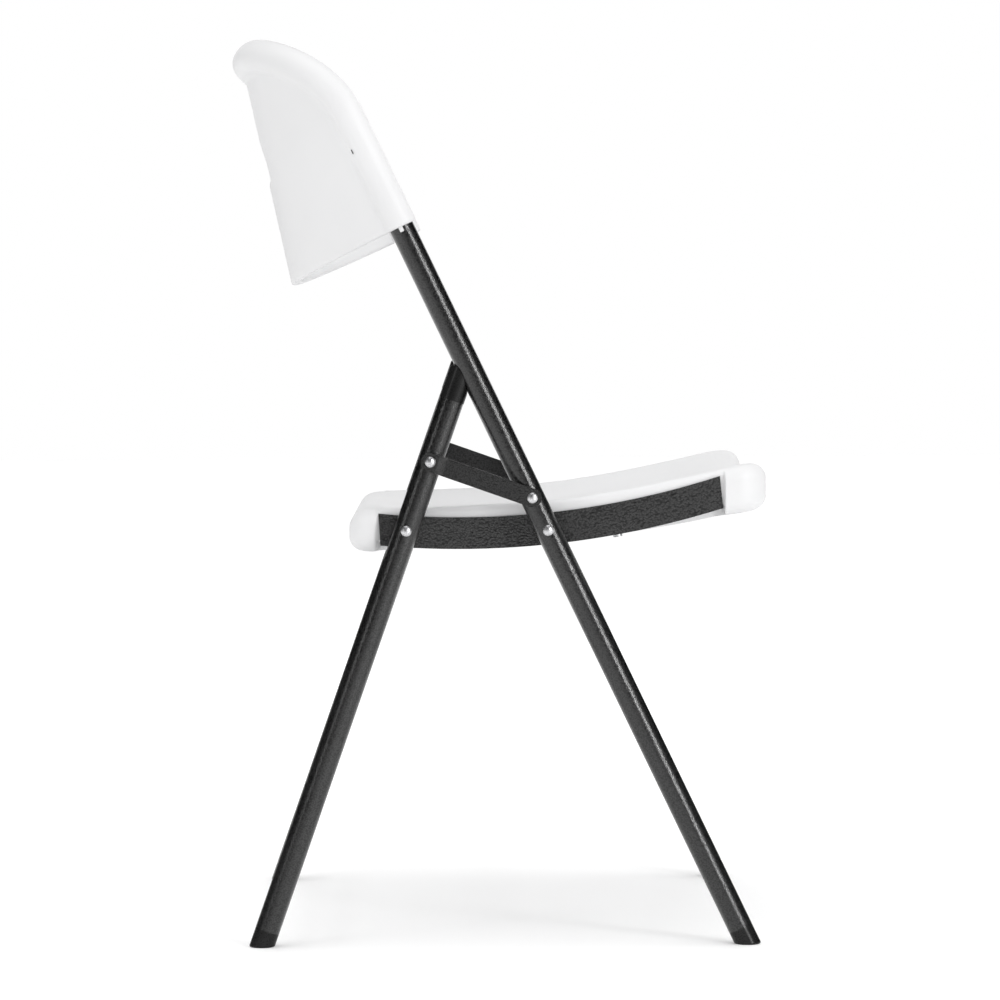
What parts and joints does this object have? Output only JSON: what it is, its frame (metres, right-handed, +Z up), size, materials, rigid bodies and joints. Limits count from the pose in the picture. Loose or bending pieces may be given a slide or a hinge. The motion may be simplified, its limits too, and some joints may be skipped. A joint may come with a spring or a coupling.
{
  "type": "folding chair",
  "caption": "Folding chair with crossed steel tube legs, hammertone paint, and a white blow-moulded seat and curved back that fold flat together.",
  "frame": {"origin": "on the floor, under the middle of the open chair", "axes": "+Z up, the chair faces -Y, X across the seat"},
  "size_m": [0.4586, 0.4884, 0.8186],
  "materials": {
    "frame_paint": "charcoal hammertone enamel",
    "white_plastic": "fine satin moulded polyethylene",
    "black_plastic": "smooth satin",
    "zinc_steel": "bright zinc"
  },
  "bodies": {
    "front_frame": {"front_frame_tube": "frame_paint", "front_crossbar": "frame_paint", "backrest_shell": "white_plastic", "backrest_screws": "zinc_steel", "front_foot_right": "black_plastic", "link_front_rivet_right": "zinc_steel", "link_front_washer_right": "zinc_steel", "seat_front_rivet_right": "zinc_steel", "seat_front_bush_right": "zinc_steel", "front_foot_left": "black_plastic", "link_front_rivet_left": "zinc_steel", "link_front_washer_left": "zinc_steel", "seat_front_rivet_left": "zinc_steel", "seat_front_bush_left": "zinc_steel"},
    "seat": {"seat_panel": "white_plastic", "seat_bracket_screws": "zinc_steel", "seat_bracket_right": "frame_paint", "seat_bracket_left": "frame_paint"},
    "rear_legs": {"rear_crossbar": "frame_paint", "rear_leg_right": "frame_paint", "rear_leg_cap_right": "black_plastic", "rear_foot_right": "black_plastic", "seat_rear_rivet_right": "zinc_steel", "seat_rear_bush_right": "zinc_steel", "link_rear_rivet_tail_right": "zinc_steel", "link_rear_washer_right": "zinc_steel", "rear_leg_left": "frame_paint", "rear_leg_cap_left": "black_plastic", "rear_foot_left": "black_plastic", "seat_rear_rivet_left": "zinc_steel", "seat_rear_bush_left": "zinc_steel", "link_rear_rivet_tail_left": "zinc_steel", "link_rear_washer_left": "zinc_steel"},
    "link_right": {"link_right": "frame_paint", "link_rear_rivet_head_right": "zinc_steel"},
    "link_left": {"link_left": "frame_paint", "link_rear_rivet_head_left": "zinc_steel"}
  },
  "joints": [
    {"name": "seat_fold", "type": "hinge", "parent": "front_frame", "child": "seat", "pos_m": [0, -0.0467, 0.3734], "axis": [-1, 0, 0], "range_deg": [0, 96]},
    {"name": "rear_leg_fold", "type": "hinge", "parent": "seat", "child": "rear_legs", "pos_m": [0, 0.07991, 0.3734], "axis": [1, 0, 0], "range_deg": [0, 50.4]},
    {"name": "link_right_swing", "type": "hinge", "parent": "front_frame", "child": "link_right", "pos_m": [-0.225, -0.0328, 0.4026], "axis": [-1, 0, 0], "range_deg": [0, 108.7]},
    {"name": "link_left_swing", "type": "hinge", "parent": "front_frame", "child": "link_left", "pos_m": [0.225, -0.0328, 0.4026], "axis": [-1, 0, 0], "range_deg": [0, 108.7]}
  ],
  "couplings": [
    {"joint": "rear_leg_fold", "follows": "seat_fold", "ratio": 0.5241},
    {"joint": "link_right_swing", "follows": "seat_fold", "ratio": 1.1317},
    {"joint": "link_left_swing", "follows": "seat_fold", "ratio": 1.1317}
  ]
}
